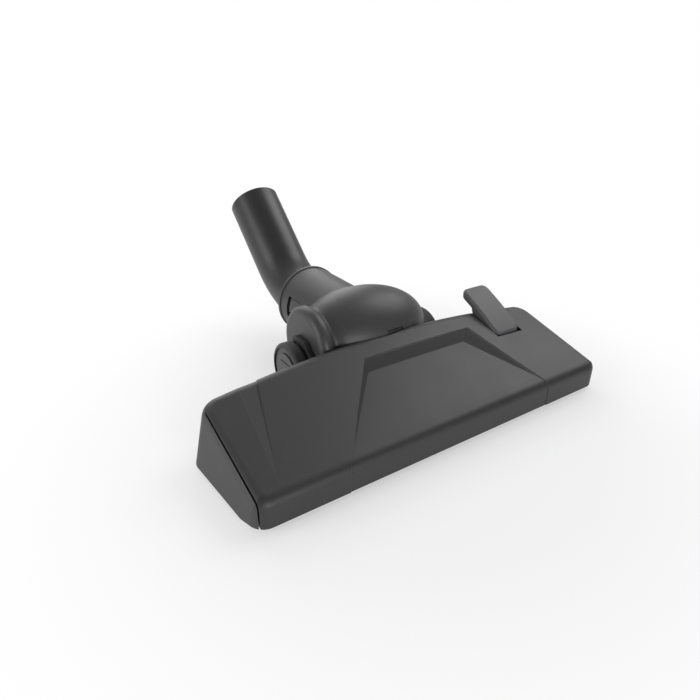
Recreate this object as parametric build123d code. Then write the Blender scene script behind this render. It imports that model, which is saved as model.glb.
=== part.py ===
"""Vacuum floor brush head: a low moulded head with a tilting neck, a swivelling wand tube and a pedal brush.

Millimetres, +Z up, front towards -Y. The origin is the middle of the sole's resting face, on the floor.
"""
from build123d import *
from math import acos, atan2, cos, degrees, radians, sin, sqrt
import os

# Head form
cover_width = 264.0
front_flare = 3.0
rear_flare = 11.0
head_front = 41.0
end_rear = 36.0
mid_rear = 41.5
edge_lift = 3.0
crease_height = 20.0
end_height = 40.0
mid_height = 50.0
crease_round = 7.0
front_corner_round = 10.0
rear_corner_round = 12.0
wall = 2.2
rib_sink = 0.4
seam_inset = 1.0
seam_gap = 0.8
cap_tongue = 4.0
cap_clearance = 0.2

# Recessed panel and side facet in the cover's top
panel_front_left = 75.0
panel_front_right = 79.5
panel_rear_left = 27.0
panel_rear_right = 63.0
panel_rear = 21.5
panel_depth = 4.0
panel_step = 0.4
panel_rear_ramp = 8.0
panel_left_ramp = 4.0
panel_right_ramp = 10.0
facet_tip_inset = 15.3
facet_outer_inset = 24.7
facet_inner_inset = 38.5
facet_edge = 1.5
facet_turn = 4.0

# Neck: dome on the pivot axis, left lobe, round collar
pivot_y = 66.0
pivot_z = 37.0
dome_radius = 33.0
dome_half_length = 54.0
dome_half_width = 47.0
neck_wall = 2.4
lobe_radius = 28.0
lobe_gap = 1.0
lobe_round = 5.0
valley_round = 8.0
valley_depth = 3.0
collar_radius = 27.0
collar_end = 141.0
collar_blend = 8.0
collar_lip = 0.7
collar_lip_width = 2.4
neck_end_wall = 7.0
mouth_half = 27.0
mouth_low_angle = -70.0
mouth_high_angle = 6.0
dome_window_x = 9.0
dome_window_width = 14.0
dome_window_low_angle = 10.0
dome_window_high_angle = 21.5
liner_thickness = 1.8
liner_high_angle = 60.0
snap_gap = 0.6
dome_gap = 0.3
seal_thickness = 2.0
cover_gap = 1.2

# Swivel and wand tube
tube_radius = 21.3
tube_bore = 16.5
socket_bore = 17.5
socket_depth = 45.0
tube_bend_radius = 67.0
tube_bend_angle = 42.0
tube_straight = 65.0
tube_front = 102.0
tube_reveal = 1.0
flange_radius = 23.5
flange_width = 3.7
swivel_gap = 0.3
running_clearance = 0.08
retainer_clearance = 0.15
window_start = 109.0
window_length = 19.0
window_low = -4.0
window_high = 12.0
tab_length = 14.5
tab_height = 10.5
tab_proud = 2.2
seal_ring_width = 1.4

# Pivot arms, pins and rear wheels
arm_gap = 0.5
arm_thickness = 3.2
arm_lift = 1.0
pivot_pin_radius = 4.0
pivot_boss = 8.0
wheel_radius = 21.0
wheel_y = 66.0
wheel_gap = 0.5
wheel_width = 9.5
wheel_web = 4.5
tyre_thickness = 3.0
tyre_round = 2.8
axle_radius = 2.5
axle_head_radius = 4.5
axle_head_height = 2.25
wheel_cap_radius = 14.0
wheel_cap_thickness = 1.2
cap_slit_width = 1.2

# Sole, base and air way
sole_thickness = 1.2
sole_margin = 1.0
base_inset = 5.0
base_thickness = 4.2
flange_low = 3.4
flange_clearance = 0.3
suction_end_gap = 9.0
suction_front = -21.0
suction_rear = -8.5
duct_wall = 2.0
channel_top = 13.0
duct_front_top = 18.0
duct_top = 28.0
duct_slope_end = 10.0
duct_floor = 10.0
duct_hump = 14.0
duct_hump_end = 15.5
duct_end = 56.0
lint_end_gap = 2.0
lint_width = 3.4
lint_recess = 0.2
lint_gap = 0.6

# Brush carrier, bristles, springs
bar_front_y = -29.0
bar_rear_y = 8.5
bar_width = 6.0
bar_height = 5.0
bar_low = 5.8
bar_inset = 25.0
bar_clearance = 0.4
cross_bar_width = 6.0
cross_bar_height = 4.0
bristle_end_gap = 8.0
bristle_base_width = 3.0
bristle_base_height = 1.6
bristle_tip = 0.6
tuft_radius = 1.15
tuft_pitch = 4.5
spring_y = -20.0
spring_radius = 2.2
spring_wire = 0.35
spring_turns = 5
spring_room = 0.35
spring_boss = 3.7
spring_seat = 3.0
spring_top = 13.3

# Pedal
pedal_inset = 40.0
pedal_width = 24.0
pedal_side_gap = 0.6
pedal_pin_y = 18.0
pedal_pin_z = 31.0
pedal_pin_radius = 2.2
pedal_boss = 5.0
pedal_front = 8.0
pedal_tip_y = 49.0
pedal_tip_z = 59.0
pedal_thickness = 6.5
pedal_proud = 1.0
pedal_crown = 1.0
pedal_corner_round = 5.0
pedal_edge_round = 2.0
pedal_slot_front_gap = 1.2
lug_thickness = 3.0
lug_depth = 12.0
lug_low = 24.0
push_y = 32.0
push_width = 3.0
push_height = 30.0
push_gap = 0.4
push_x_width = 8.0

# Front rollers and fasteners
roller_inset = 18.0
roller_y = -8.0
roller_radius = 5.0
roller_width = 8.0
roller_lift = 0.3
roller_room = 0.6
roller_pin_radius = 1.5
roller_bracket = 2.0
roller_bracket_top = 8.5
post_radius = 4.0
screw_radius = 1.5
screw_head_radius = 3.2
screw_head_height = 2.0
screw_seat = 3.4
screw_length = 14.0
screw_room = 0.3
cross_width = 0.8
cross_depth = 0.7
cover_screw_insets = [(15, -28), (15, 19), (70, 20)]
sole_screw_radius = 1.3
sole_screw_head = 2.6
sole_screw_length = 4.6
sole_screw_recess = 0.1
sole_screw_insets = [(96, 18), (42, 18), (13, 5)]

# Sizes worked out from the driving dimensions
cover_half = cover_width / 2
seam_x = cover_half - seam_inset
bar_half_length = cover_half - bar_inset
suction_half = bar_half_length - suction_end_gap
lint_half = suction_half - lint_end_gap
bristle_half = bar_half_length - bristle_end_gap
pedal_x = cover_half - pedal_inset
roller_x = cover_half - roller_inset
reach = 4 * head_front
base_top = sole_thickness + base_thickness
arm_inner = dome_half_width + arm_gap
arm_outer = arm_inner + arm_thickness
wheel_inner = arm_outer + wheel_gap
wheel_outer = wheel_inner + wheel_width
collar_bore = collar_radius - neck_wall
lobe_width = dome_half_width - collar_radius - valley_round - lobe_gap
panel_start = -head_front + panel_step + crease_round / 2
bend_start = collar_end + tube_reveal
spring_x = bar_half_length - cross_bar_width / 2
roller_z = roller_radius + roller_lift
roller_slot = roller_width / 2 + roller_room


def screw_places(insets):
    """Screw places on both sides, from their insets from the cover's ends."""
    return [(side * (cover_half - inset), y) for inset, y in insets for side in (-1, 1)]


def block(x0, x1, y0, y1, z0, z1):
    """A block between two corners."""
    return Pos((x0 + x1) / 2, (y0 + y1) / 2, (z0 + z1) / 2) * Box(x1 - x0, y1 - y0, z1 - z0)


def rod_x(x0, x1, y, z, radius):
    """A round bar along X."""
    return Pos((x0 + x1) / 2, y, z) * Rot(0, 90, 0) * Cylinder(radius, x1 - x0)


def rod_y(y0, y1, z, radius):
    """A round bar along Y, in the middle plane."""
    return Pos(0, (y0 + y1) / 2, z) * Rot(90, 0, 0) * Cylinder(radius, y1 - y0)


def rod_z(x, y, z0, z1, radius):
    """An upright round bar."""
    return Pos(x, y, (z0 + z1) / 2) * Cylinder(radius, z1 - z0)


def side_prism(points, x0, x1):
    """A side outline of (y, z) points run from x0 to x1."""
    face = Plane.YZ.offset(x0) * make_face(Polyline(*points, close=True))
    return extrude(face, x1 - x0, dir=(1, 0, 0))


def plan_prism(points, z0, z1):
    """An outline from above, of (x, y) points, run from z0 to z1."""
    face = Plane.XY.offset(z0) * make_face(Polyline(*points, close=True))
    return extrude(face, z1 - z0, dir=(0, 0, 1))


def both_sides(shape):
    """A shape and its mirror image across the middle plane."""
    return shape + mirror(shape, Plane.YZ)


def crown(x, mid, end):
    """Height of the rear edge's arch at x."""
    return mid - (mid - end) * (x / cover_half) ** 2


def cover_top(x, y):
    """Height of the cover's top face, before its edges are rounded."""
    rear = crown(x, mid_height, end_height)
    rear_y = crown(x, mid_rear, end_rear)
    return crease_height + (rear - crease_height) * (y + head_front) / (rear_y + head_front)


# Head form
def plan(inset, flare=0.0):
    """The head's outline from above, drawn in by inset, its sides leaning out by flare towards the rear."""
    front = -head_front + inset
    side = cover_half - inset
    rear = end_rear - inset
    edges = [
        Line((-side, front), (side, front)),
        Line((side, front), (side + flare, rear)),
        ThreePointArc((side + flare, rear), (0, mid_rear - inset), (-side - flare, rear)),
        Line((-side - flare, rear), (-side, front)),
    ]
    return make_face(edges)


def rounded_plan(inset):
    """The head's outline from above with its corners rounded."""
    face = plan(inset)
    face = fillet(face.vertices().group_by(Axis.Y)[0], front_corner_round - inset)
    return fillet(face.vertices().group_by(Axis.Y)[-1], rear_corner_round - inset)


def end_section(y, mid, end, flare, inset):
    """A cross-section of the head at y, with an arched top and sides that lean out towards the floor."""
    half = cover_half - inset
    foot = half + flare
    plane = Plane(origin=(0, y, 0), x_dir=(1, 0, 0), z_dir=(0, -1, 0))
    top = ThreePointArc((half, end), (0, mid), (-half, end))
    edges = [Line((-foot, 0), (foot, 0)), Line((foot, 0), (half, end)), top, Line((-half, end), (-foot, 0))]
    return plane * make_face(edges)


def arched_block(inset):
    """The head's plain arched block, before its plan is cut and its edges are rounded."""
    sections = []
    for y, flare in ((-head_front - crease_round, front_flare), (mid_rear + crease_round, rear_flare)):
        mid = cover_top(0, y) - inset
        end = cover_top(cover_half, y) - inset
        sections.append(end_section(y, mid, end, flare, inset))
    return loft(sections, ruled=True)


def corner_edges(body):
    """The block's slanting corner edges in two groups, front and rear."""
    steep = body.edges().filter_by(lambda e: e.bounding_box().size.Z > crease_height / 2)
    steep = steep.filter_by(lambda e: e.bounding_box().size.X < 2 * rear_flare)
    return steep.group_by(Axis.Y)


def form(inset):
    """The head's outer shape, or its hollow when drawn in by inset."""
    body = arched_block(inset) & extrude(plan(inset, 2 * rear_flare), reach)
    body = fillet(corner_edges(body)[-1], rear_corner_round - inset)
    body = fillet(corner_edges(body)[0], front_corner_round - inset)
    rim = body.faces().sort_by(Axis.Z)[-1].outer_wire().edges()
    return fillet(rim, crease_round - inset)


def panel_edge(side, y):
    """The recessed panel's left or right outer edge at y."""
    part = (y - panel_start) / (panel_rear - panel_start)
    if side < 0:
        return -panel_front_left + (panel_front_left - panel_rear_left) * part
    return panel_front_right + (panel_rear_right - panel_front_right) * part


def panel_prism(grow):
    """The panel's outline from above, grown by grow, run up through the cover and out past its front."""
    far = -head_front - crease_round
    rear = panel_rear + grow
    corners = [(-1, rear), (1, rear), (1, far), (-1, far)]
    return plan_prism([(panel_edge(side, y) + side * grow, y) for side, y in corners], 0, reach)


def panel_slope(start, end, ramp):
    """The arched block turned about the line from start to end, to fall by the panel's depth over ramp."""
    points = [(x, y, cover_top(x, y)) for x, y in (start, end)]
    line = Axis(points[0], [b - a for a, b in zip(*points)])
    return arched_block(0).rotate(line, degrees(atan2(panel_depth, ramp)))


def panel_cutter(sink):
    """The recess, whose floor falls to the rear and whose walls slope, lowered and grown by sink."""
    left = (panel_edge(-1, panel_rear), panel_rear)
    right = (panel_edge(1, panel_rear), panel_rear)
    front_left = (-panel_front_left, panel_start)
    front_right = (panel_front_right, panel_start)
    under = panel_slope((1, panel_start), (0, panel_start), panel_rear - panel_rear_ramp - panel_start)
    under = under + panel_slope((0, panel_rear), (1, panel_rear), panel_rear_ramp)
    under = under + panel_slope(front_left, left, panel_left_ramp)
    under = under + panel_slope(right, front_right, panel_right_ramp)
    return Pos(0, 0, -sink) * (panel_prism(sink) - under)


def panel_border():
    """The shallow step that runs round the panel and down the front face."""
    return panel_prism(0) - form(panel_step)


def facet_cutter(shape):
    """The tilted three-cornered facet near the left end."""
    tip = (facet_tip_inset - cover_half, -head_front + crease_round, crease_height)
    outer = facet_outer_inset - cover_half
    hinge = outer - facet_edge
    points = [tip[:2], (outer, mid_rear), (facet_inner_inset - cover_half, mid_rear)]
    rise = cover_top(hinge, mid_rear) - crease_height
    line = Axis(tip, (hinge - tip[0], mid_rear - tip[1], rise))
    return plan_prism(points, 0, reach) - shape.rotate(line, facet_turn)


def neck_space(room):
    """The dome grown by room, the space that it turns in."""
    return dome_solid(dome_half_length + room, dome_radius + room, dome_half_width + room)


def dome_solid(half_length, radius, half_width):
    """A round-topped barrel about the pivot axis, cut off square at its ends."""
    outline = Ellipse(half_length, radius) & (Pos(0, radius) * Rectangle(2 * half_width, 2 * radius))
    at_pivot = Pos(0, pivot_y, pivot_z) * outline
    return revolve(at_pivot, Axis((0, pivot_y, pivot_z), (1, 0, 0)))


def pedal_slot():
    """The opening in the cover that the pedal stands in."""
    half = pedal_width / 2 + pedal_side_gap
    front = pedal_front - pedal_slot_front_gap
    rear = reach
    deep = pedal_pin_z - pedal_boss
    sill = push_height - push_gap - pedal_side_gap
    points = [(front, deep), (push_y, deep), (push_y, sill), (rear, sill), (rear, reach), (front, reach)]
    return side_prism(points, pedal_x - half, pedal_x + half)


def top_cover(outer, hollow):
    """The moulded top shell with its screw posts and pedal lugs."""
    trim = seam_x - seam_gap / 2
    keep = block(-trim, trim, -reach, reach, edge_lift, reach)
    cutter = panel_cutter(0) + panel_border()
    inside = hollow - panel_cutter(wall)
    shell = (outer & keep) - cutter - facet_cutter(outer) - inside
    rear_door = block(-wheel_inner, wheel_inner, end_rear - 2 * wall, reach, 0, pivot_z)
    lobe_end = -dome_half_width + lobe_width + cover_gap
    lobe_room = rod_x(-arm_inner, lobe_end, pivot_y, pivot_z, lobe_radius + cover_gap)
    shell = shell - neck_space(cover_gap) - rear_door - lobe_room
    fill = form(wall - rib_sink) - panel_cutter(wall - rib_sink)
    for x, y in screw_places(cover_screw_insets):
        post = rod_z(x, y, base_top, mid_height, post_radius) & fill
        shell = shell + (post - rod_z(x, y, 0, screw_seat + screw_length, screw_radius))
    shell = shell - pedal_slot()
    front = pedal_pin_y - lug_depth / 2
    for x0 in (lug_left(), lug_right()):
        lug = block(x0, x0 + lug_thickness, front, front + lug_depth, lug_low, reach)
        shell = shell + (lug & fill)
    return shell - pedal_pin()


def lug_left():
    """Left side of the pedal's left lug."""
    return pedal_x - pedal_width / 2 - pedal_side_gap - lug_thickness


def lug_right():
    """Left side of the pedal's right lug."""
    return pedal_x + pedal_width / 2 + pedal_side_gap


def end_cap(outer):
    """The right end cap: a bowed end face with a tongue inside the cover."""
    start = seam_x + seam_gap / 2
    face = outer & block(start, reach, -reach, reach, edge_lift, reach)
    snug = form(wall + cap_clearance)
    tongue = snug & block(start - cap_tongue, start + seam_gap, -reach, reach, base_top, reach)
    return face + tongue


# Base, sole and air way
def duct_outline(grow):
    """Side outline of the middle air way, grown by a wall."""
    return [
        (suction_front - grow, sole_thickness),
        (suction_front - grow, duct_front_top + grow),
        (duct_slope_end, duct_top + grow),
        (duct_end, duct_top + grow),
        (duct_end, duct_floor - grow),
        (duct_hump_end - grow, duct_floor - grow),
        (duct_hump_end - grow, duct_hump - grow),
        (suction_rear + grow, duct_hump - grow),
        (suction_rear + grow, sole_thickness),
    ]


def air_way(grow):
    """The suction channel and the middle duct, grown by a wall."""
    half = suction_half + grow
    front = suction_front - grow
    rear = suction_rear + grow
    channel = block(-half, half, front, rear, sole_thickness, channel_top + grow)
    return channel + side_prism(duct_outline(grow), -mouth_half - grow, mouth_half + grow)


def arm():
    """The right pivot arm, with the holes for the neck's pin and the wheel's axle."""
    top = pivot_z + pivot_boss
    points = [
        (end_rear / 2, sole_thickness + arm_lift),
        (end_rear / 2, base_top + pivot_boss),
        (pivot_y - pivot_boss, top),
        (pivot_y + pivot_boss, top),
        (wheel_y + pivot_boss, pivot_z),
        (wheel_y + pivot_boss, wheel_radius),
        (wheel_y, wheel_radius - pivot_boss),
        (mid_rear + wall, base_top),
        (end_rear, sole_thickness + arm_lift),
    ]
    plate = side_prism(points, arm_inner, arm_outer)
    upright = plate.edges().filter_by(Axis.X).group_by(Axis.Y)[-2:]
    plate = fillet(upright[0] + upright[1], pivot_boss / 2)
    plate = plate - rod_x(arm_inner, arm_outer, pivot_y, pivot_z, pivot_pin_radius)
    return plate - rod_x(arm_inner, arm_outer, wheel_y, wheel_radius, axle_radius)


def bar_slot(y, z0, z1):
    """The slot that one bristle bar goes down through."""
    half = bar_half_length + bar_clearance
    deep = bar_width / 2 + bar_clearance
    return block(-half, half, y - deep, y + deep, z0, z1)


def roller_pocket(z0, z1):
    """The right front roller's pocket."""
    deep = roller_radius + roller_room
    return block(roller_x - roller_slot, roller_x + roller_slot, roller_y - deep, roller_y + deep, z0, z1)


def roller_bracket_pair():
    """The two cheeks that hold the right front roller's pin."""
    outer = roller_slot + roller_bracket
    front = roller_y - roller_radius + roller_room
    rear = roller_y + roller_radius - roller_room
    pair = block(roller_x - outer, roller_x + outer, front, rear, sole_thickness, roller_bracket_top)
    return pair - roller_pocket(0, reach)


def spring_wells(z0, z1):
    """Room for both carrier springs between two heights."""
    return both_sides(rod_z(spring_x, spring_y, z0, z1, spring_radius + spring_wire + spring_room))


def lower_housing():
    """The base moulding: tray, air duct, pivot arms, roller brackets and spring seats."""
    tray = Pos(0, 0, sole_thickness) * extrude(rounded_plan(base_inset), base_thickness)
    rim = Pos(0, 0, flange_low) * extrude(rounded_plan(wall + flange_clearance), base_top - flange_low)
    cap_room = seam_x + seam_gap / 2 - cap_tongue - cap_clearance
    rim = rim & block(-cap_room, cap_room, -reach, reach, 0, reach)
    body = tray + rim + air_way(duct_wall)
    for y in (bar_front_y, bar_rear_y):
        body = body - bar_slot(y, 0, bar_low + bar_height)
    body = body - air_way(0) - neck_space(dome_gap + seal_thickness)
    body = body + both_sides(arm())
    body = body - both_sides(roller_pocket(0, reach)) + both_sides(roller_bracket_pair())
    body = body - both_sides(roller_pin()) - spring_wells(spring_seat, reach)
    for x, y in screw_places(cover_screw_insets):
        body = body - rod_z(x, y, 0, reach, screw_radius + screw_room)
        body = body - rod_z(x, y, 0, screw_seat, screw_head_radius + screw_room)
    for x, y in screw_places(sole_screw_insets):
        body = body - rod_z(x, y, 0, sole_screw_length + 2 * sole_screw_recess, sole_screw_radius)
    return body


def throat_seal():
    """The felt frame between the duct's end and the dome."""
    frame = side_prism(duct_outline(duct_wall), -mouth_half - duct_wall, mouth_half + duct_wall)
    return (frame & neck_space(dome_gap + seal_thickness)) - neck_space(dome_gap) - air_way(0)


def lint_strip(y):
    """A velvet strip set in the sole beside the suction mouth."""
    return block(-lint_half, lint_half, y - lint_width / 2, y + lint_width / 2, lint_recess, sole_thickness)


def lint_places():
    """The lint strips' places in front of and behind the suction mouth."""
    step = lint_gap + lint_width / 2
    return suction_front - step, suction_rear + step


def sole_plate():
    """The steel gliding plate with the suction mouth and the bar slots."""
    plate = extrude(rounded_plan(base_inset + sole_margin), sole_thickness)
    plate = plate - block(-suction_half, suction_half, suction_front, suction_rear, 0, sole_thickness)
    for y in (bar_front_y, bar_rear_y):
        plate = plate - bar_slot(y, 0, sole_thickness)
    for y in lint_places():
        plate = plate - lint_strip(y) - Pos(0, 0, -lint_recess) * lint_strip(y)
    plate = plate - both_sides(roller_pocket(0, sole_thickness))
    for x, y in screw_places(cover_screw_insets):
        plate = plate - rod_z(x, y, 0, sole_thickness, screw_head_radius + 2 * screw_room)
    for x, y in screw_places(sole_screw_insets):
        plate = plate - sole_screw_head_solid(x, y, 0)
    return plate


def sole_screw_head_solid(x, y, low):
    """A countersunk head from low up to the sole's upper face."""
    slope = (sole_screw_head - sole_screw_radius) / sole_thickness
    height = sole_thickness - low
    return Pos(x, y, low + height / 2) * Cone(sole_screw_head - slope * low, sole_screw_radius, height)


def cross_recess(x, y, z, head_radius):
    """The driver's cross in a screw head whose face is at z."""
    long = head_radius * 2 / 3
    thin = cross_width / 2
    cross = block(x - long, x + long, y - thin, y + thin, z, z + cross_depth)
    return cross + block(x - thin, x + thin, y - long, y + long, z, z + cross_depth)


def sole_screws():
    """The countersunk screws that hold the sole plate."""
    screws = []
    for x, y in screw_places(sole_screw_insets):
        shank = rod_z(x, y, sole_thickness, sole_screw_length, sole_screw_radius)
        head = sole_screw_head_solid(x, y, sole_screw_recess)
        screws.append(head + shank - cross_recess(x, y, sole_screw_recess, sole_screw_head))
    return Compound(children=screws)


def cover_screws():
    """The screws that hold the base to the cover's posts."""
    screws = []
    for x, y in screw_places(cover_screw_insets):
        low = screw_seat - screw_head_height
        head = rod_z(x, y, low, screw_seat, screw_head_radius)
        shank = rod_z(x, y, screw_seat, screw_seat + screw_length, screw_radius)
        screws.append(head + shank - cross_recess(x, y, low, screw_head_radius))
    return Compound(children=screws)


# Brush carrier
def brush_carrier():
    """The lifting frame: two bristle bars, two cross bars and the post under the pedal."""
    top = bar_low + bar_height
    cross_top = top + cross_bar_height
    frame = None
    for y in (bar_front_y, bar_rear_y):
        bar = block(-bar_half_length, bar_half_length, y - bar_width / 2, y + bar_width / 2, bar_low, top)
        bar = bar - bristle_base(y)
        frame = bar if frame is None else frame + bar
    inner = bar_half_length - cross_bar_width
    front = bar_front_y - bar_width / 2
    rear = bar_rear_y + bar_width / 2
    frame = frame + both_sides(block(inner, bar_half_length, front, rear, top, cross_top))
    frame = frame + both_sides(rod_z(spring_x, spring_y, top, cross_top, spring_boss))
    frame = frame - spring_wells(bar_low, spring_top)
    x0 = pedal_x - push_x_width / 2
    x1 = pedal_x + push_x_width / 2
    frame = frame + block(x0, x1, bar_rear_y - bar_width / 2, push_y + push_width / 2, top, cross_top)
    post_top = push_height - push_gap
    return frame + block(x0, x1, push_y - push_width / 2, push_y + push_width / 2, top, post_top)


def bristle_base(y):
    """The strip that holds the tufts, let into its bar."""
    deep = bristle_base_width / 2
    return block(-bristle_half, bristle_half, y - deep, y + deep, bar_low, bar_low + bristle_base_height)


def bristle_strip(y):
    """A strip with its row of bristle tufts."""
    count = int(2 * (bristle_half - tuft_radius) / tuft_pitch) + 1
    first = -(count - 1) * tuft_pitch / 2
    tufts = [rod_z(first + i * tuft_pitch, y, bristle_tip, bar_low, tuft_radius) for i in range(count)]
    return bristle_base(y) + tufts


def carrier_springs():
    """The two compression springs that hold the carrier up."""
    low = spring_seat + spring_wire
    height = spring_top - spring_wire - low
    coil = Helix(height / spring_turns, height, spring_radius)
    wire = Plane(origin=coil @ 0, z_dir=coil % 0) * Circle(spring_wire)
    spring = sweep(wire, path=coil, is_frenet=True)
    return Compound(children=[Pos(side * spring_x, spring_y, low) * spring for side in (-1, 1)])


# Pedal
def pedal():
    """The foot pedal: a crowned paddle on a hollow body, with its pin bore and push rib."""
    half = pedal_width / 2
    front_z = cover_top(pedal_x, pedal_front)
    front_top = (pedal_front, front_z + pedal_proud)
    middle_z = (front_z + pedal_proud + pedal_tip_z) / 2 + pedal_crown
    tip = (pedal_tip_y, pedal_tip_z)
    tip_low = (pedal_tip_y, pedal_tip_z - pedal_thickness)
    heel = pedal_pin_z - pedal_boss
    under = [
        tip,
        tip_low,
        (push_y + pedal_thickness / 2, tip_low[1] - pedal_thickness),
        (push_y, push_height + pedal_thickness),
        (push_y - push_width, push_height + push_width),
        (pedal_pin_y + pedal_boss, heel),
        (pedal_pin_y - pedal_boss, heel),
        (pedal_front, front_z - pedal_thickness / 2),
        front_top,
    ]
    top = ThreePointArc(front_top, ((pedal_front + pedal_tip_y) / 2, middle_z), tip)
    side = Plane.YZ.offset(pedal_x - half) * make_face([top, Polyline(*under)])
    length = pedal_tip_y - pedal_front
    outline = RectangleRounded(pedal_width, length - pedal_side_gap, pedal_corner_round)
    body = extrude(side, pedal_width, dir=(1, 0, 0))
    body = body & extrude(Pos(pedal_x, pedal_front + length / 2) * outline, reach)
    body = fillet(body.faces().sort_by(Axis.Z)[-1].outer_wire().edges(), pedal_edge_round)
    rib = block(
        pedal_x - push_x_width / 2,
        pedal_x + push_x_width / 2,
        push_y - push_width / 2,
        push_y + push_width / 2,
        push_height,
        push_height + pedal_thickness,
    )
    bore = pedal_pin_radius + running_clearance
    return body + rib - rod_x(pedal_x - half, pedal_x + half, pedal_pin_y, pedal_pin_z, bore)


# Neck and wand tube
def sector(low_angle, high_angle, x0, x1):
    """A wedge about the pivot axis, its angles measured up from straight ahead."""
    far = 2 * dome_radius
    angles = (low_angle, (low_angle + high_angle) / 2, high_angle)
    points = [(pivot_y, pivot_z)]
    for angle in angles:
        points.append((pivot_y - far * cos(radians(angle)), pivot_z + far * sin(radians(angle))))
    return side_prism(points, x0, x1)


def dome_outline():
    """Half section of the dome with its left lobe, above the pivot axis."""
    left = -dome_half_width
    valley = left + lobe_width
    right_angle = degrees(acos(dome_half_width / dome_half_length))
    left_angle = degrees(acos((valley + valley_round) / dome_half_length))
    sweep_angle = left_angle - right_angle
    dome = EllipticalCenterArc((0, 0), dome_half_length, dome_radius, right_angle, arc_size=sweep_angle)
    shoulder = lobe_radius - lobe_round
    turn = lobe_round * sqrt(0.5)
    crest = (left + lobe_round, lobe_radius)
    low = (valley, lobe_radius - valley_depth)
    edges = [
        Line((dome_half_width, 0), dome @ 0),
        dome,
        Spline(dome @ 1, low, crest, tangents=(dome % 1, (-1, 0))),
        ThreePointArc(crest, (left + lobe_round - turn, shoulder + turn), (left, shoulder)),
        Polyline((left, shoulder), (left, 0), (dome_half_width, 0)),
    ]
    return make_face(edges)


def neck_shell():
    """The neck moulding: dome, left lobe and round collar, hollow, with its mouth and snap windows."""
    dome = revolve(Pos(0, pivot_y, pivot_z) * dome_outline(), Axis((0, pivot_y, pivot_z), (1, 0, 0)))
    collar = rod_y(pivot_y, collar_end, pivot_z, collar_radius)
    body = dome + collar
    body = fillet(new_edges(dome, collar, combined=body), collar_blend)
    body = body + rod_y(collar_end - collar_lip_width, collar_end, pivot_z, collar_radius + collar_lip)
    inner_half = dome_half_width - neck_end_wall
    room = dome_solid(dome_half_length - neck_wall, dome_radius - neck_wall, inner_half)
    lobe_start = lobe_width + valley_round - dome_half_width
    room = room & block(lobe_start, inner_half, -reach, reach, -reach, reach)
    lobe_bore = lobe_radius - lobe_round - neck_wall
    room = room + rod_x(-inner_half, lobe_start, pivot_y, pivot_z, lobe_bore)
    body = body - room - rod_y(pivot_y, collar_end, pivot_z, collar_bore)
    body = body - sector(mouth_low_angle, mouth_high_angle, -mouth_half, mouth_half)
    x0 = dome_window_x - dome_window_width / 2
    body = body - sector(dome_window_low_angle, dome_window_high_angle, x0, x0 + dome_window_width)
    body = body - both_sides(collar_window())
    bore = pivot_pin_radius + running_clearance
    return body - both_sides(rod_x(pin_end() - running_clearance, dome_half_width, pivot_y, pivot_z, bore))


def pin_end():
    """Inner end of the right pivot pin."""
    return dome_half_width - neck_end_wall + neck_wall


def collar_window():
    """The right snap window in the collar."""
    return block(
        tube_radius,
        2 * collar_radius,
        window_start,
        window_start + window_length,
        pivot_z + window_low,
        pivot_z + window_high,
    )


def neck_liner():
    """The curved liner plate inside the dome, with its snap hook in the dome's window."""
    room = -neck_wall - swivel_gap
    back = room - liner_thickness
    half = dome_window_width / 2
    x0 = dome_window_x - half
    x1 = dome_window_x + half
    plate = sector(dome_window_low_angle, liner_high_angle, x0 - half, x1 + half)
    plate = plate & (neck_space(room) - neck_space(back))
    play = degrees(snap_gap / dome_radius)
    hook = sector(dome_window_low_angle + play, dome_window_high_angle - play, x0 + snap_gap, x1 - snap_gap)
    return plate + (hook & (neck_space(-snap_gap) - neck_space(back)))


def swivel_retainer():
    """The split ring's two snap tabs on one ring, which hold the tube's flange in the collar."""
    start = tube_front + flange_width + swivel_gap
    end = collar_end - 2 * seal_ring_width
    ring = rod_y(start, end, pivot_z, collar_bore - retainer_clearance)
    tab = block(
        tube_radius,
        2 * collar_radius,
        window_start + snap_gap,
        window_start + snap_gap + tab_length,
        pivot_z + window_high - snap_gap - tab_height,
        pivot_z + window_high - snap_gap,
    )
    tab = tab & rod_y(start, end, pivot_z, collar_bore + tab_proud)
    ring = ring + both_sides(tab)
    return ring - rod_y(start, end, pivot_z, tube_radius + running_clearance)


def swivel_seal():
    """The seal ring in the collar's mouth."""
    end = collar_end
    ring = rod_y(end - seal_ring_width, end, pivot_z, collar_bore - retainer_clearance)
    return ring - rod_y(end - seal_ring_width, end, pivot_z, tube_radius + swivel_gap)


def tube_run(radius, start):
    """The tube's course as a solid of the given radius, from start to the mouth."""
    straight = rod_y(start, bend_start, pivot_z, radius)
    ring = Plane(origin=(0, bend_start, pivot_z), x_dir=(1, 0, 0), z_dir=(0, 1, 0)) * Circle(radius)
    centre = (0, bend_start, pivot_z + tube_bend_radius)
    bend = revolve(ring, Axis(centre, (1, 0, 0)), tube_bend_angle)
    return straight + bend + tube_end(radius, 0, tube_straight)


def tube_end(radius, start, end):
    """A stretch of the tube's straight far run, measured from the bend's end."""
    turn = radians(tube_bend_angle)
    y = bend_start + tube_bend_radius * sin(turn)
    z = pivot_z + tube_bend_radius * (1 - cos(turn))
    plane = Plane(origin=(0, y, z), x_dir=(1, 0, 0), z_dir=(0, cos(turn), sin(turn)))
    return extrude(plane.offset(start) * Circle(radius), end - start)


def wand_tube():
    """The bent tube with its swivel flange and wand socket."""
    flange = rod_y(tube_front, tube_front + flange_width, pivot_z, flange_radius)
    body = tube_run(tube_radius, tube_front) + flange - tube_run(tube_bore, tube_front)
    return body - tube_end(socket_bore, tube_straight - socket_depth, tube_straight)


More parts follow.
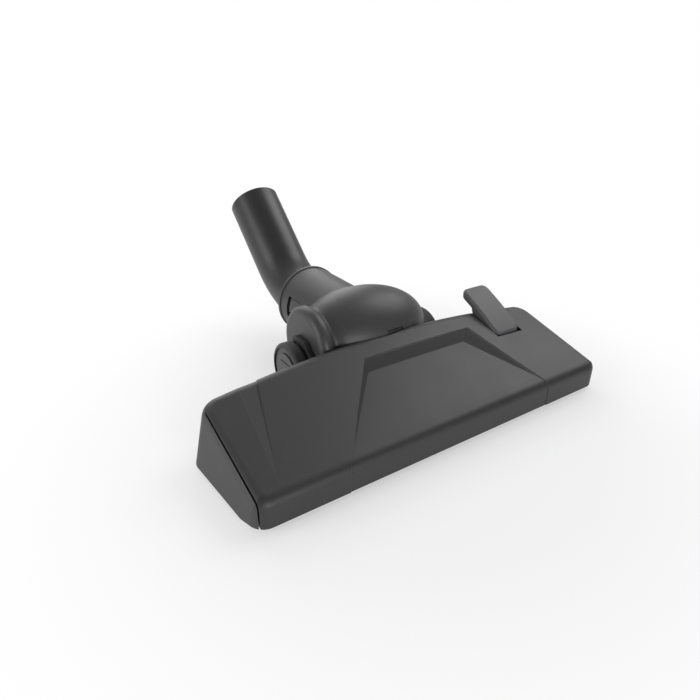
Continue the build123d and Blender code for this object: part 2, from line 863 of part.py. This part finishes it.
# Wheels, rollers and pins
def wheel():
    """The right wheel's hub, hollow on its inner side."""
    rim = wheel_radius - tyre_thickness
    hub = rod_x(wheel_inner, wheel_outer - wheel_cap_thickness, wheel_y, wheel_radius, rim)
    hollow_end = wheel_outer - wheel_web
    hollow = rod_x(wheel_inner, hollow_end, wheel_y, wheel_radius, rim - tyre_thickness)
    hollow = hollow - rod_x(wheel_inner, hollow_end, wheel_y, wheel_radius, axle_head_radius + tyre_thickness)
    hub = hub - hollow
    hub = hub - rod_x(wheel_inner, wheel_outer, wheel_y, wheel_radius, axle_radius + running_clearance)
    seat = wheel_outer - wheel_cap_thickness - axle_head_height - swivel_gap
    return hub - rod_x(seat, wheel_outer, wheel_y, wheel_radius, axle_head_radius + swivel_gap)


def tyre():
    """The right wheel's soft tyre."""
    band = rod_x(wheel_inner, wheel_outer, wheel_y, wheel_radius, wheel_radius)
    band = fillet(band.edges().filter_by(GeomType.CIRCLE), tyre_round)
    return band - rod_x(wheel_inner, wheel_outer, wheel_y, wheel_radius, wheel_radius - tyre_thickness)


def wheel_cap():
    """The right wheel's side cap with its slit."""
    start = wheel_outer - wheel_cap_thickness
    cap = rod_x(start, wheel_outer, wheel_y, wheel_radius, wheel_cap_radius)
    cut = block(
        start,
        wheel_outer,
        wheel_y - wheel_cap_radius / 2,
        wheel_y + wheel_cap_radius / 2,
        wheel_radius + wheel_cap_radius / 2,
        wheel_radius + wheel_cap_radius / 2 + cap_slit_width,
    )
    return cap - cut


def axle():
    """The right wheel's axle, held in the arm."""
    head_end = wheel_outer - wheel_cap_thickness - swivel_gap
    head_start = head_end - axle_head_height
    shank = rod_x(arm_inner, head_start, wheel_y, wheel_radius, axle_radius)
    return shank + rod_x(head_start, head_end, wheel_y, wheel_radius, axle_head_radius)


def pivot_pin():
    """The right pivot pin, held in the arm."""
    return rod_x(pin_end(), arm_outer, pivot_y, pivot_z, pivot_pin_radius)


def roller():
    """The right front roller."""
    x0 = roller_x - roller_width / 2
    x1 = roller_x + roller_width / 2
    barrel = rod_x(x0, x1, roller_y, roller_z, roller_radius)
    return barrel - rod_x(x0, x1, roller_y, roller_z, roller_pin_radius + running_clearance)


def roller_pin():
    """The right front roller's pin."""
    half = roller_slot + roller_bracket
    return rod_x(roller_x - half, roller_x + half, roller_y, roller_z, roller_pin_radius)


def pedal_pin():
    """The pin that the pedal rocks on."""
    return rod_x(lug_left(), lug_right() + lug_thickness, pedal_pin_y, pedal_pin_z, pedal_pin_radius)


def build():
    """All nodes by name."""
    outer = form(0)
    hollow = form(wall)
    lint_front, lint_rear = lint_places()
    nodes = {
        "top_cover": top_cover(outer, hollow),
        "lower_housing": lower_housing(),
        "sole_plate": sole_plate(),
        "front_lint_strip": lint_strip(lint_front),
        "rear_lint_strip": lint_strip(lint_rear),
        "throat_seal": throat_seal(),
        "cover_screws": cover_screws(),
        "sole_screws": sole_screws(),
        "brush_carrier": brush_carrier(),
        "front_bristles": bristle_strip(bar_front_y),
        "rear_bristles": bristle_strip(bar_rear_y),
        "carrier_springs": carrier_springs(),
        "pedal": pedal(),
        "pedal_pin": pedal_pin(),
        "neck_shell": neck_shell(),
        "neck_liner": neck_liner(),
        "swivel_retainer": swivel_retainer(),
        "swivel_seal": swivel_seal(),
        "wand_tube": wand_tube(),
    }
    pairs = {
        "end_cap": end_cap(outer),
        "pivot_pin": pivot_pin(),
        "wheel": wheel(),
        "tyre": tyre(),
        "wheel_cap": wheel_cap(),
        "axle": axle(),
        "roller": roller(),
        "roller_pin": roller_pin(),
    }
    for name, shape in pairs.items():
        nodes["right_" + name] = shape
        nodes["left_" + name] = mirror(shape, Plane.YZ)
    return nodes


os.makedirs("parts", exist_ok=True)
for node, shape in build().items():
    export_step(shape, "parts/" + node + ".step")
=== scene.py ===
"""Vacuum floor brush head: finishes, fine detail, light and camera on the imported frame."""

import logging
import math
import random
from dataclasses import dataclass, field
from enum import Enum
from typing import Optional, Union

import bmesh
import bpy
from mathutils import Matrix, Vector


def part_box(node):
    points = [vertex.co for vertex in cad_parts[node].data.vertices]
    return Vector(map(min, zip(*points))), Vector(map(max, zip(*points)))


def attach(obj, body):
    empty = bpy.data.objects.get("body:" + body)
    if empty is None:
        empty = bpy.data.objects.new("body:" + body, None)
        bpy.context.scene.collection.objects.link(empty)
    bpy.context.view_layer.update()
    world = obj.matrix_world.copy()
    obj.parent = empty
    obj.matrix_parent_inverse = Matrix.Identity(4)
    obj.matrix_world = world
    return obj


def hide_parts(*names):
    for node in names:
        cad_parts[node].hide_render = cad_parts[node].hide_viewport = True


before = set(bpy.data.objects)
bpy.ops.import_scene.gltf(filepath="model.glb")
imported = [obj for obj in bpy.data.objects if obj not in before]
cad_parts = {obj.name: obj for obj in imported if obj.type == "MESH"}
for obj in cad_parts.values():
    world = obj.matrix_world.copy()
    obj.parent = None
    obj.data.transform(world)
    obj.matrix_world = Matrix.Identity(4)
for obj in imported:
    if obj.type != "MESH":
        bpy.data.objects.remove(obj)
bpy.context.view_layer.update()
log = logging.getLogger("scene")

MM = 0.001
EDGE_SAMPLES = 4
# Where the pale edges start and are full: painted edge highlight, partly edge wear.
PALE_EDGE_START = 0.004
PALE_EDGE_FULL = 0.08
Colour = tuple[float, float, float]


class Value:
    """A number in a shader. Arithmetic on it adds Math nodes."""

    def __init__(self, graph: "Graph", socket: bpy.types.NodeSocket) -> None:
        """Keeps the socket and the graph that it is in."""
        self.graph = graph
        self.socket = socket

    def _math(self, operation: str, first: "Number", second: "Number") -> "Value":
        """Adds one Math node.

        Args:
            operation: The Math node's operation.
            first: Its first number.
            second: Its second number.

        Returns:
            The result as a value.
        """
        node = self.graph.add("ShaderNodeMath", {"operation": operation}, {0: first, 1: second})
        return Value(self.graph, node.outputs[0])

    def __add__(self, other: "Number") -> "Value":
        """Sum."""
        return self._math("ADD", self, other)

    def __radd__(self, other: "Number") -> "Value":
        """Sum, reflected."""
        return self._math("ADD", other, self)

    def __sub__(self, other: "Number") -> "Value":
        """Difference."""
        return self._math("SUBTRACT", self, other)

    def __rsub__(self, other: "Number") -> "Value":
        """Difference, reflected."""
        return self._math("SUBTRACT", other, self)

    def __mul__(self, other: "Number") -> "Value":
        """Product."""
        return self._math("MULTIPLY", self, other)

    def __rmul__(self, other: "Number") -> "Value":
        """Product, reflected."""
        return self._math("MULTIPLY", other, self)


Number = Union[Value, float]


class Axis(Enum):
    """A direction in the object's own frame, as the index of its coordinate."""

    X = 0
    Y = 1
    Z = 2


class Graph:
    """The node tree of one material or of the world."""

    def __init__(self, owner: Union[bpy.types.Material, bpy.types.World]) -> None:
        """Empties the owner's node tree and starts with the surface point.

        Args:
            owner: The material or world.
        """
        self.owner = owner
        owner.use_nodes = True
        self.tree = owner.node_tree
        self.tree.nodes.clear()
        self.place = self.add("ShaderNodeTexCoord").outputs["Object"]

    @classmethod
    def material(cls, name: str) -> "Graph":
        """The graph of a new material."""
        return cls(bpy.data.materials.new(name))

    def add(
        self, kind: str, settings: Optional[dict] = None, inputs: Optional[dict] = None
    ) -> bpy.types.Node:
        """Adds one node.

        Args:
            kind: The node's type.
            settings: Its properties, set first.
            inputs: Values or links of its sockets, by name or index.

        Returns:
            The node.
        """
        node = self.tree.nodes.new(kind)
        for key, setting in (settings or {}).items():
            setattr(node, key, setting)
        for key, given in (inputs or {}).items():
            source = given.socket if isinstance(given, Value) else given
            if isinstance(source, bpy.types.NodeSocket):
                self.tree.links.new(source, node.inputs[key])
            else:
                node.inputs[key].default_value = source
        return node

    def along(self, axis: Axis) -> Value:
        """One coordinate of the surface point, in metres.

        Args:
            axis: Which coordinate.

        Returns:
            The coordinate.
        """
        parts = self.add("ShaderNodeSeparateXYZ", inputs={0: self.place})
        return Value(self, parts.outputs[axis.value])

    def noise(self, scale: float, detail: float = 3.0, stretch: Colour = (1.0, 1.0, 1.0)) -> Value:
        """Noise between 0 and 1.

        Args:
            scale: Features for each metre.
            detail: Octaves of finer noise.
            stretch: Factors on the three coordinates, small along the grain.

        Returns:
            The noise's value.
        """
        scaled = self.add(
            "ShaderNodeMapping", {"vector_type": "POINT"}, {"Vector": self.place, "Scale": stretch}
        )
        node = self.add(
            "ShaderNodeTexNoise", inputs={"Vector": scaled.outputs[0], "Scale": scale, "Detail": detail}
        )
        return Value(self, node.outputs[0])

    def spread(self, value: Number, low: float, high: float) -> Value:
        """Takes a range of a value to 0 to 1, held at its ends.

        Args:
            value: The value.
            low: Where the result is 0.
            high: Where the result is 1.

        Returns:
            The result.
        """
        node = self.add(
            "ShaderNodeMapRange",
            {"interpolation_type": "SMOOTHSTEP", "clamp": True},
            {"Value": value, "From Min": low, "From Max": high},
        )
        return Value(self, node.outputs[0])

    def mix(self, factor: Number, first: object, second: object) -> bpy.types.NodeSocket:
        """Mixes two colours.

        Args:
            factor: 0 gives the first, 1 the second.
            first: A colour or a colour socket.
            second: A colour or a colour socket.

        Returns:
            The mixed colour.
        """
        ends = [(*c, 1.0) if isinstance(c, tuple) else c for c in (first, second)]
        node = self.add("ShaderNodeMix", {"data_type": "RGBA"}, {0: factor, 6: ends[0], 7: ends[1]})
        return node.outputs[2]

    def rounded(self, radius: float) -> bpy.types.NodeSocket:
        """The normal with sharp edges rounded by a radius in metres."""
        return self.add("ShaderNodeBevel", {"samples": EDGE_SAMPLES}, {"Radius": radius}).outputs[0]

    def highlight_and_wear(self, rounded: bpy.types.NodeSocket) -> Value:
        """How far a point lies on an edge: the mask of the pale edges, a painted edge highlight that also
        stands for edge wear.

        Args:
            rounded: The normal with rounded edges.

        Returns:
            0 on an even surface, 1 on a sharp edge.
        """
        even = self.add("ShaderNodeNewGeometry").outputs["Normal"]
        facing = self.add("ShaderNodeVectorMath", {"operation": "DOT_PRODUCT"}, {0: rounded, 1: even})
        return self.spread(1.0 - Value(self, facing.outputs["Value"]), PALE_EDGE_START, PALE_EDGE_FULL)

    def bump(
        self, height: Value, depth: float, normal: Optional[bpy.types.NodeSocket] = None
    ) -> bpy.types.NodeSocket:
        """A bumped normal.

        Args:
            height: The height map, 0 to 1.
            depth: The depth of a full step, in metres.
            normal: The normal that is bumped, the surface's own if none is given.

        Returns:
            The normal.
        """
        inputs = {"Height": height, "Distance": depth}
        if normal:
            inputs["Normal"] = normal
        return self.add("ShaderNodeBump", inputs=inputs).outputs[0]

    def surface(self, inputs: dict) -> bpy.types.Material:
        """Closes the graph with its surface.

        Args:
            inputs: The surface's sockets.

        Returns:
            The finished material.
        """
        shader = self.add("ShaderNodeBsdfPrincipled", inputs=inputs)
        self.add("ShaderNodeOutputMaterial", inputs={"Surface": shader.outputs[0]})
        return self.owner


def shade(colour: Colour, factor: float) -> Colour:
    """A colour made lighter or darker by a factor."""
    return tuple(factor * part for part in colour)


@dataclass(frozen=True)
class MouldedPlastic:
    """Moulded plastic: fine spark-eroded grain, slow tone drift, pale edges of painted edge highlight and
    wear, scuffs near the floor.
    """

    tone: Colour
    roughness: float
    grain_depth: float = 0.05 * MM
    drift: float = 0.07
    scuffs: float = 0.3
    edge: float = 0.45 * MM
    # Strength of the pale edges: painted edge highlight, partly edge wear.
    highlight_and_wear: float = 0.6
    grain_scale: float = 1500.0
    cloud_scale: float = 38.0
    streak_scale: float = 420.0
    streak_stretch: Colour = (0.12, 1.0, 1.0)
    scuff_low: float = 3.0 * MM
    scuff_high: float = 16.0 * MM
    speck_share: float = 0.5
    speck_gain: float = 1.4
    edge_gain: float = 3.0
    scuff_gain: float = 2.2

    def make(self, name: str) -> bpy.types.Material:
        """Builds the material.

        Args:
            name: The material's name.

        Returns:
            The material.
        """
        graph = Graph.material(name)
        grain = graph.noise(self.grain_scale, 3.0)
        cloud = graph.noise(self.cloud_scale, 4.0)
        streak = graph.noise(self.streak_scale, 4.0, self.streak_stretch)
        low = 1.0 - graph.spread(graph.along(Axis.Z), self.scuff_low, self.scuff_high)
        scuff = graph.spread(streak, 0.62, 0.72) * low * self.scuffs
        base = graph.mix(cloud, shade(self.tone, 1 - self.drift), shade(self.tone, 1 + self.drift))
        specks = graph.spread(grain, 0.35, 0.7) * self.speck_share
        speck = graph.mix(specks, base, shade(self.tone, self.speck_gain))
        rounded = graph.rounded(self.edge)
        # Pale edges: a painted edge highlight on sharp edges, partly edge wear.
        edged = graph.mix(graph.highlight_and_wear(rounded) * self.highlight_and_wear, speck, shade(self.tone, self.edge_gain))
        colour = graph.mix(scuff, edged, shade(self.tone, self.scuff_gain))
        rough = self.roughness + 0.16 * (grain - 0.5) + 0.1 * (cloud - 0.5) + 0.12 * scuff
        normal = graph.bump(grain, self.grain_depth, rounded)
        return graph.surface({"Base Color": colour, "Roughness": rough, "Normal": normal})


@dataclass(frozen=True)
class BrushedSteel:
    """Bare steel with fine lines along one axis."""

    tone: Colour
    roughness: float
    lines: Colour
    line_scale: float = 2600.0
    line_depth: float = 0.02 * MM
    cloud_scale: float = 55.0
    scratch_scale: float = 700.0

    def make(self, name: str) -> bpy.types.Material:
        """Builds the material.

        Args:
            name: The material's name.

        Returns:
            The material.
        """
        graph = Graph.material(name)
        line = graph.noise(self.line_scale, 4.0, self.lines)
        cloud = graph.noise(self.cloud_scale, 3.0)
        scratch = graph.spread(graph.noise(self.scratch_scale, 2.0, self.lines), 0.64, 0.7)
        base = graph.mix(line, shade(self.tone, 0.82), shade(self.tone, 1.1))
        colour = graph.mix(scratch * 0.4, base, shade(self.tone, 0.6))
        rough = self.roughness + 0.2 * (line - 0.5) + 0.12 * (cloud - 0.5)
        return graph.surface(
            {
                "Base Color": colour,
                "Metallic": 1.0,
                "Roughness": rough,
                "Normal": graph.bump(line, self.line_depth),
            }
        )


@dataclass(frozen=True)
class SoftRubber:
    """Matte rubber with fine cross lines round the tread and a dusty bloom."""

    tone: Colour
    pitch: float = 1.6 * MM
    depth: float = 0.06 * MM
    fine_scale: float = 1800.0
    bloom_scale: float = 90.0

    def make(self, name: str) -> bpy.types.Material:
        """Builds the material.

        Args:
            name: The material's name.

        Returns:
            The material.
        """
        graph = Graph.material(name)
        fine = graph.noise(self.fine_scale, 3.0)
        bloom = graph.noise(self.bloom_scale, 4.0)
        rings = graph.add(
            "ShaderNodeTexWave",
            {"wave_type": "BANDS", "bands_direction": "X", "wave_profile": "SIN"},
            {"Vector": graph.place, "Scale": math.pi / 10 / self.pitch, "Distortion": 0.0},
        )
        height = 0.7 * Value(graph, rings.outputs[1]) + 0.3 * fine
        base = graph.mix(fine, shade(self.tone, 0.8), shade(self.tone, 1.15))
        colour = graph.mix(graph.spread(bloom, 0.5, 0.8) * 0.25, base, shade(self.tone, 1.9))
        return graph.surface(
            {
                "Base Color": colour,
                "Roughness": 0.7 + 0.15 * (bloom - 0.5),
                "Normal": graph.bump(height, self.depth),
            }
        )


@dataclass(frozen=True)
class Fibre:
    """Pile, felt or bristle: matte threads whose tone changes from thread to thread."""

    tone: Colour
    scale: float
    roughness: float
    stretch: Colour = (1.0, 1.0, 1.0)
    depth: float = 0.1 * MM

    def make(self, name: str) -> bpy.types.Material:
        """Builds the material.

        Args:
            name: The material's name.

        Returns:
            The material.
        """
        graph = Graph.material(name)
        thread = graph.noise(self.scale, 2.0, self.stretch)
        patch = graph.noise(self.scale / 12, 3.0)
        base = graph.mix(graph.spread(thread, 0.3, 0.7), shade(self.tone, 0.55), shade(self.tone, 1.4))
        colour = graph.mix(patch * 0.3, base, shade(self.tone, 0.7))
        return graph.surface(
            {
                "Base Color": colour,
                "Roughness": self.roughness + 0.15 * (thread - 0.5),
                "Normal": graph.bump(thread, self.depth),
            }
        )


Finish = Union[MouldedPlastic, BrushedSteel, SoftRubber, Fibre]


class Slot(Enum):
    """The record's material slots."""

    COVER = "cover_plastic"
    CAP = "cap_plastic"
    NECK = "neck_plastic"
    TUBE = "tube_plastic"
    PEDAL = "pedal_plastic"
    BASE = "base_plastic"
    WHEEL = "wheel_plastic"
    TYRE = "tyre_rubber"
    FELT = "seal_felt"
    VELVET = "lint_velvet"
    BRISTLE = "bristle"
    SOLE = "sole_steel"
    PIN = "pin_steel"
    SPRING = "spring_steel"


FINISHES: dict[Slot, Finish] = {
    Slot.COVER: MouldedPlastic((0.0215, 0.0212, 0.0222), 0.5),
    Slot.CAP: MouldedPlastic((0.038, 0.0377, 0.0388), 0.54),
    Slot.NECK: MouldedPlastic((0.036, 0.0346, 0.0366), 0.46, scuffs=0.0),
    Slot.TUBE: MouldedPlastic((0.021, 0.0196, 0.0213), 0.4, 0.02 * MM, scuffs=0.0),
    Slot.PEDAL: MouldedPlastic((0.066, 0.0653, 0.0693), 0.5, scuffs=0.0),
    Slot.BASE: MouldedPlastic((0.02, 0.02, 0.0206), 0.55),
    Slot.WHEEL: MouldedPlastic((0.058, 0.0574, 0.0592), 0.5),
    Slot.TYRE: SoftRubber((0.045, 0.044, 0.045)),
    Slot.FELT: Fibre((0.02, 0.02, 0.02), 1500.0, 0.9),
    Slot.VELVET: Fibre((0.3, 0.02, 0.02), 1400.0, 0.85),
    Slot.BRISTLE: Fibre((0.03, 0.03, 0.032), 2000.0, 0.5, (1.0, 1.0, 0.1)),
    Slot.SOLE: BrushedSteel((0.62, 0.62, 0.62), 0.32, (0.03, 1.0, 1.0)),
    Slot.PIN: BrushedSteel((0.56, 0.56, 0.57), 0.3, (0.05, 1.0, 1.0)),
    Slot.SPRING: BrushedSteel((0.5, 0.5, 0.5), 0.35, (1.0, 1.0, 0.2)),
}


class FinishShelf:
    """Makes each finish once and hands it out."""

    def __init__(self) -> None:
        """Starts with no material made."""
        self.made: dict[Slot, bpy.types.Material] = {}

    def get(self, slot: Slot) -> bpy.types.Material:
        """The material of a slot.

        Args:
            slot: The record's slot.

        Returns:
            The material, made on first use.
        """
        if slot not in self.made:
            self.made[slot] = FINISHES[slot].make(slot.value)
        return self.made[slot]


def piece_from(
    mesh: bmesh.types.BMesh, name: str, body: str, slot: Slot, shelf: FinishShelf
) -> bpy.types.Object:
    """Turns a bmesh into a piece that rides on a body.

    Args:
        mesh: The shape, in the row frame, freed here.
        name: The piece's name.
        body: The CAD body that it moves with.
        slot: Its material slot.
        shelf: Where the material comes from.

    Returns:
        The piece.
    """
    data = bpy.data.meshes.new(name)
    mesh.to_mesh(data)
    mesh.free()
    data.materials.append(shelf.get(slot))
    piece = bpy.data.objects.new(name, data)
    bpy.context.scene.collection.objects.link(piece)
    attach(piece, body)
    return piece


@dataclass
class SubAssembly:
    """CAD nodes that belong together, with the slot of each."""

    name: str
    nodes: dict[str, Slot]

    def paint(self, shelf: FinishShelf) -> None:
        """Gives each node its finish.

        Args:
            shelf: Where the materials come from.
        """
        for node, slot in self.nodes.items():
            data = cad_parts[node].data
            data.materials.clear()
            data.materials.append(shelf.get(slot))
            log.info("%s: %s in %s", self.name, node, slot.value)

    def detail(self, shelf: FinishShelf) -> list[bpy.types.Object]:
        """New pieces of this sub-assembly.

        Args:
            shelf: Where the materials come from.

        Returns:
            The pieces, none by default.
        """
        return []

    def build(self, shelf: FinishShelf) -> None:
        """Paints the nodes and adds the new pieces.

        Args:
            shelf: Where the materials come from.
        """
        self.paint(shelf)
        for piece in self.detail(shelf):
            log.info("%s: new piece %s", self.name, piece.name)


@dataclass
class Head(SubAssembly):
    """The cover, base and sole, with a velvet pile on the lint strips."""

    pile_pitch: float = 0.55 * MM
    pile_radius: float = 0.2 * MM
    pile_lean: float = 0.35 * MM
    pile_share: float = 0.75
    seed: int = 11

    def pile(self, node: str, shelf: FinishShelf) -> bpy.types.Object:
        """The velvet of one lint strip: short leaning threads on a backing.

        Args:
            node: The strip's CAD node.
            shelf: Where the material comes from.

        Returns:
            The piece, which stands for the node.
        """
        low, high = (Vector(corner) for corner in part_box(node))
        size = high - low
        dice = random.Random(self.seed)
        mesh = bmesh.new()
        backing = Matrix.Translation((low + high) / 2 + Vector((0, 0, size.z / 4)))
        bmesh.ops.create_cube(mesh, size=1.0, matrix=backing @ Matrix.Diagonal((*size.xy, size.z / 2, 1.0)))
        columns = int(size.x / self.pile_pitch)
        rows = int(size.y / self.pile_pitch)
        height = self.pile_share * size.z
        for i in range(columns):
            for j in range(rows):
                x = low.x + (i + 0.2 + 0.6 * dice.random()) * size.x / columns
                y = low.y + (j + 0.2 + 0.6 * dice.random()) * size.y / rows
                lean = Matrix.Shear("XY", 4, (0.4 * (dice.random() - 0.5), -self.pile_lean / height))
                at = Matrix.Translation((x, y, high.z - height / 2 - size.z / 4))
                bmesh.ops.create_cone(
                    mesh,
                    segments=3,
                    radius1=self.pile_radius / 3,
                    radius2=self.pile_radius,
                    depth=height,
                    matrix=at @ lean,
                )
        piece = piece_from(mesh, node + "_pile", "head", Slot.VELVET, shelf)
        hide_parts(node)
        return piece

    def detail(self, shelf: FinishShelf) -> list[bpy.types.Object]:
        """The velvet of both strips.

        Args:
            shelf: Where the material comes from.

        Returns:
            The two pieces.
        """
        return [self.pile(node, shelf) for node in ("front_lint_strip", "rear_lint_strip")]


@dataclass
class Brush(SubAssembly):
    """The lifting brush, with bristle tufts of single filaments."""

    pitch: float = 4.5 * MM
    tuft_radius: float = 1.0 * MM
    filament_radius: float = 0.11 * MM
    filaments: int = 26
    strip_height: float = 1.6 * MM
    splay: float = 0.25
    uneven: float = 0.06
    seed: int = 7

    def row(self, node: str, shelf: FinishShelf) -> bpy.types.Object:
        """One row of tufts on its strip.

        Args:
            node: The row's CAD node.
            shelf: Where the material comes from.

        Returns:
            The piece, which stands for the node.
        """
        low, high = (Vector(corner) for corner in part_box(node))
        size = high - low
        mesh = bmesh.new()
        middle = (low + high) / 2
        top = Vector((middle.x, middle.y, high.z - self.strip_height / 2))
        strip = Matrix.Translation(top) @ Matrix.Diagonal((*size.xy, self.strip_height, 1.0))
        bmesh.ops.create_cube(mesh, size=1.0, matrix=strip)
        count = int((size.x - 2 * self.tuft_radius) / self.pitch) + 1
        length = size.z - self.strip_height
        dice = random.Random(self.seed)
        for i in range(count):
            tuft_x = middle.x + (i - (count - 1) / 2) * self.pitch
            for _ in range(self.filaments):
                reach = self.tuft_radius * math.sqrt(dice.random())
                turn = 2 * math.pi * dice.random()
                splay = self.splay * reach / length
                dx = reach * math.cos(turn)
                dy = reach * math.sin(turn)
                lean = Matrix.Shear("XY", 4, (-splay * math.cos(turn), -splay * math.sin(turn)))
                at = Matrix.Translation((tuft_x + dx, middle.y + dy, low.z + length / 2))
                bmesh.ops.create_cone(
                    mesh,
                    segments=4,
                    radius1=0.6 * self.filament_radius,
                    radius2=self.filament_radius,
                    depth=length * (1 - self.uneven + self.uneven * dice.random()),
                    matrix=at @ lean,
                )
        piece = piece_from(mesh, node + "_tufts", "brush", Slot.BRISTLE, shelf)
        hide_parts(node)
        return piece

    def detail(self, shelf: FinishShelf) -> list[bpy.types.Object]:
        """Both rows of bristles.

        Args:
            shelf: Where the material comes from.

        Returns:
            The two pieces.
        """
        return [self.row(node, shelf) for node in ("front_bristles", "rear_bristles")]


@dataclass
class SoftLight:
    """A square studio softbox aimed at the head."""

    name: str
    place: Colour
    size: float
    power: float
    aim: Colour = (0.0, 0.04, 0.03)

    def build(self) -> None:
        """Adds the light."""
        data = bpy.data.lights.new(self.name, "AREA")
        data.shape = "SQUARE"
        data.size = self.size
        data.energy = self.power
        lamp = bpy.data.objects.new(self.name, data)
        lamp.location = self.place
        lamp.rotation_euler = (Vector(self.place) - Vector(self.aim)).to_track_quat("Z", "Y").to_euler()
        bpy.context.scene.collection.objects.link(lamp)
        log.info("light %s", self.name)


@dataclass
class Studio:
    """The pale floor, the white surround and the softboxes."""

    floor_size: float = 40.0
    floor_tone: Colour = (0.88, 0.88, 0.88)
    floor_glow: float = 0.5
    fade_start: float = 0.1
    fade_end: float = 0.27
    front_level: float = 0.16
    rear_level: float = 0.5
    lights: list[SoftLight] = field(default_factory=list)

    def floor_finish(self) -> bpy.types.Material:
        """Pale floor that keeps the shadow near the head and goes to plain white further out.

        Returns:
            The material.
        """
        graph = Graph.material("floor")
        tone = graph.mix(graph.noise(6.0, 3.0), self.floor_tone, shade(self.floor_tone, 1.02))
        away = graph.add("ShaderNodeVectorMath", {"operation": "LENGTH"}, {0: graph.place})
        far_off = graph.spread(Value(graph, away.outputs["Value"]), self.fade_start, self.fade_end)
        fade = self.floor_glow + (1.0 - self.floor_glow) * far_off
        near = graph.add("ShaderNodeBsdfDiffuse", inputs={"Color": tone})
        far = graph.add("ShaderNodeEmission", inputs={"Color": (1.0, 1.0, 1.0, 1.0), "Strength": 1.0})
        both = graph.add("ShaderNodeMixShader", inputs={0: fade, 1: near.outputs[0], 2: far.outputs[0]})
        graph.add("ShaderNodeOutputMaterial", inputs={"Surface": both.outputs[0]})
        return graph.owner

    def floor(self) -> None:
        """Adds the floor under the head."""
        mesh = bmesh.new()
        bmesh.ops.create_grid(mesh, x_segments=1, y_segments=1, size=self.floor_size / 2)
        data = bpy.data.meshes.new("floor")
        mesh.to_mesh(data)
        mesh.free()
        data.materials.append(self.floor_finish())
        floor = bpy.data.objects.new("floor", data)
        bpy.context.scene.collection.objects.link(floor)

    def surround(self) -> None:
        """Lights the scene from all round, less from the front, with white behind it for the camera."""
        world = bpy.data.worlds.new("surround")
        bpy.context.scene.world = world
        graph = Graph(world)
        way = graph.add("ShaderNodeTexCoord").outputs["Generated"]
        parts = graph.add("ShaderNodeSeparateXYZ", inputs={0: way})
        behind = graph.spread(Value(graph, parts.outputs[Axis.Y.value]), -0.4, 0.7)
        room = self.front_level + (self.rear_level - self.front_level) * behind
        seen = Value(graph, graph.add("ShaderNodeLightPath").outputs["Is Camera Ray"])
        level = room + (1.0 - room) * seen
        back = graph.add("ShaderNodeBackground", inputs={"Color": (1.0, 1.0, 1.0, 1.0), "Strength": level})
        graph.add("ShaderNodeOutputWorld", inputs={"Surface": back.outputs[0]})

    def build(self) -> None:
        """Adds the floor, the surround and the lights."""
        self.floor()
        self.surround()
        for light in self.lights:
            light.build()


@dataclass
class PhotoCamera:
    """The camera at the photo's place."""

    eye: Colour
    turn_deg: float
    down_deg: float
    focal_px: float
    frame_px: float = 700.0

    def build(self) -> None:
        """Adds the camera and makes it the scene's."""
        turn = math.radians(self.turn_deg)
        down = math.radians(self.down_deg)
        right = Vector((math.cos(turn), -math.sin(turn), 0.0))
        back = Vector((-math.sin(turn) * math.cos(down), -math.cos(turn) * math.cos(down), math.sin(down)))
        up = back.cross(right)
        data = bpy.data.cameras.new("camera")
        data.sensor_fit = "HORIZONTAL"
        data.angle = 2 * math.atan(self.frame_px / 2 / self.focal_px)
        data.clip_start = 0.01
        data.clip_end = 100.0
        data.dof.use_dof = False
        camera = bpy.data.objects.new("camera", data)
        camera.matrix_world = Matrix.Translation(self.eye) @ Matrix((right, up, back)).transposed().to_4x4()
        bpy.context.scene.collection.objects.link(camera)
        bpy.context.scene.camera = camera
        log.info("camera at %s", tuple(self.eye))


def sided(names: dict[str, Slot]) -> dict[str, Slot]:
    """The same nodes on the left and on the right.

    Args:
        names: Node names without their side, with their slots.

    Returns:
        The sided names with the same slots.
    """
    return {side + "_" + name: slot for side in ("left", "right") for name, slot in names.items()}


def sub_assemblies() -> list[SubAssembly]:
    """Every sub-assembly, in the order that they are built.

    Returns:
        The list.
    """
    return [
        Head(
            "head",
            {
                "top_cover": Slot.COVER,
                "lower_housing": Slot.BASE,
                "sole_plate": Slot.SOLE,
                "front_lint_strip": Slot.VELVET,
                "rear_lint_strip": Slot.VELVET,
                "throat_seal": Slot.FELT,
                "cover_screws": Slot.PIN,
                "sole_screws": Slot.PIN,
                "pedal_pin": Slot.PIN,
                **sided(
                    {"end_cap": Slot.CAP, "pivot_pin": Slot.PIN, "axle": Slot.PIN, "roller_pin": Slot.PIN}
                ),
            },
        ),
        Brush(
            "brush",
            {
                "brush_carrier": Slot.BASE,
                "front_bristles": Slot.BRISTLE,
                "rear_bristles": Slot.BRISTLE,
                "carrier_springs": Slot.SPRING,
            },
        ),
        SubAssembly("pedal", {"pedal": Slot.PEDAL}),
        SubAssembly(
            "neck",
            {
                "neck_shell": Slot.NECK,
                "neck_liner": Slot.BASE,
                "swivel_retainer": Slot.NECK,
                "swivel_seal": Slot.FELT,
            },
        ),
        SubAssembly("tube", {"wand_tube": Slot.TUBE}),
        SubAssembly(
            "wheels",
            sided({"wheel": Slot.WHEEL, "tyre": Slot.TYRE, "wheel_cap": Slot.WHEEL, "roller": Slot.WHEEL}),
        ),
    ]


def main() -> None:
    """Builds the sub-assemblies, the studio and the camera."""
    logging.basicConfig(level=logging.INFO)
    scene = bpy.context.scene
    scene.view_settings.view_transform = "Standard"
    shelf = FinishShelf()
    for group in sub_assemblies():
        group.build(shelf)
    lights = [
        SoftLight("key", (1.0, 0.15, 1.05), 0.9, 9.0),
        SoftLight("rear", (0.3, 1.6, 0.8), 1.4, 13.0),
        SoftLight("left", (-1.2, 0.2, 0.45), 0.8, 7.0),
        SoftLight("front", (-0.1, -1.5, 0.25), 0.45, 10.0),
    ]
    Studio(lights=lights).build()
    eye = (-207.2 * MM, -236.4 * MM, 210.9 * MM)
    PhotoCamera(eye, turn_deg=33.3, down_deg=27.3, focal_px=560.0).build()
    log.info("sizes written")


if __name__ == "__main__":
    main()
